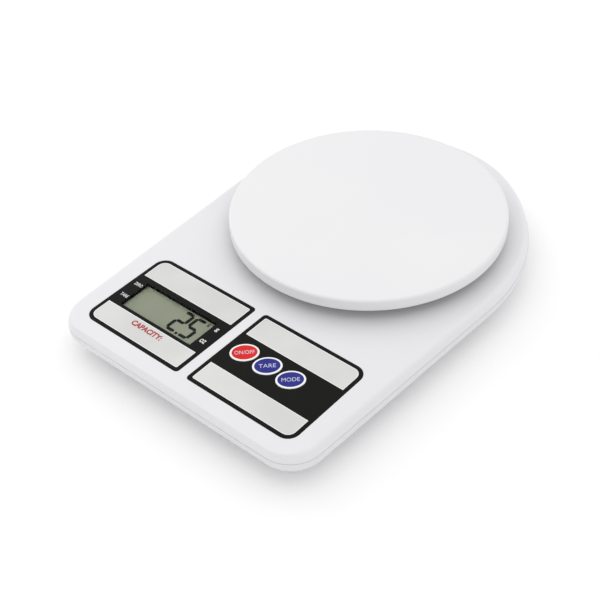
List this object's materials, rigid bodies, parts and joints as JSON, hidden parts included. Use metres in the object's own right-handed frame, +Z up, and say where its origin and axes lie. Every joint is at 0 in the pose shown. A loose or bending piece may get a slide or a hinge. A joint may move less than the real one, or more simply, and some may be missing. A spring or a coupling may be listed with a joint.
{
  "type": "kitchen scale",
  "caption": "Compact battery-powered digital scale: low white case with a round weighing platter, a display label and a keypad label with oval push keys.",
  "frame": {"origin": "under the middle of the case's outline, at the level the feet stand on", "axes": "+Z up, +Y away from the user from the display end to the platter end, +X to the user's right"},
  "size_m": [0.1694, 0.242, 0.033],
  "materials": {
    "case_white": "satin moulded white, fine texture",
    "platter_white": "satin moulded white",
    "label_black": "printed film: black frame and band with silver-grey panels",
    "window_clear": "clear film over the display",
    "lcd_glass": "grey-green reflective display glass",
    "key_red": "printed key with a white rim",
    "key_blue": "printed key with a white rim",
    "rubber_grey": "soft matt",
    "strip_rubber": "layered conductive rubber",
    "board_green": "solder resist on glass laminate",
    "chip_black": "potted chip",
    "switch_black": "small switch",
    "beam_aluminium": "milled",
    "potting_white": "cured sealant",
    "screw_steel": "zinc plated",
    "contact_steel": "nickel plated",
    "battery_jacket": "plain jacket",
    "holder_white": "moulded"
  },
  "bodies": {
    "case": {"lower_shell": "case_white", "upper_shell": "case_white", "display_label": "label_black", "display_window": "window_clear", "keypad_label": "label_black", "lcd_glass": "lcd_glass", "contact_strips": "strip_rubber", "circuit_board": "board_green", "chip_blob": "chip_black", "converter_chip": "chip_black", "board_screws": "screw_steel", "switch_power": "switch_black", "switch_tare": "switch_black", "switch_mode": "switch_black", "load_cell": "beam_aluminium", "gauge_potting": "potting_white", "load_cell_screws": "screw_steel", "overload_stop": "screw_steel", "battery_1": "battery_jacket", "battery_2": "battery_jacket", "battery_contacts": "contact_steel", "battery_springs": "contact_steel", "foot_front_left": "rubber_grey", "foot_front_right": "rubber_grey", "foot_rear_left": "rubber_grey", "foot_rear_right": "rubber_grey", "case_screws": "screw_steel"},
    "platter": {"platter": "platter_white", "platter_holder": "holder_white", "holder_screws": "screw_steel", "platter_screws": "screw_steel"},
    "power_key": {"key_power": "key_red"},
    "tare_key": {"key_tare": "key_blue"},
    "mode_key": {"key_mode": "key_blue"},
    "door": {"battery_door": "case_white"}
  },
  "joints": [
    {"name": "platter_load", "type": "slide", "parent": "case", "child": "platter", "axis": [0, 0, -1], "range_m": [0, 0.0008], "stiffness_N_per_m": 80000, "deforming": ["load_cell", "gauge_potting"]},
    {"name": "power_press", "type": "slide", "parent": "case", "child": "power_key", "axis": [0, 0, -1], "range_m": [0, 0.0004], "stiffness_N_per_m": 3000},
    {"name": "tare_press", "type": "slide", "parent": "case", "child": "tare_key", "axis": [0, 0, -1], "range_m": [0, 0.0004], "stiffness_N_per_m": 3000},
    {"name": "mode_press", "type": "slide", "parent": "case", "child": "mode_key", "axis": [0, 0, -1], "range_m": [0, 0.0004], "stiffness_N_per_m": 3000},
    {"name": "door_hinge", "type": "hinge", "parent": "case", "child": "door", "pos_m": [0, -0.0492, 0.0025], "axis": [-1, 0, 0], "range_deg": [0, 75]}
  ]
}
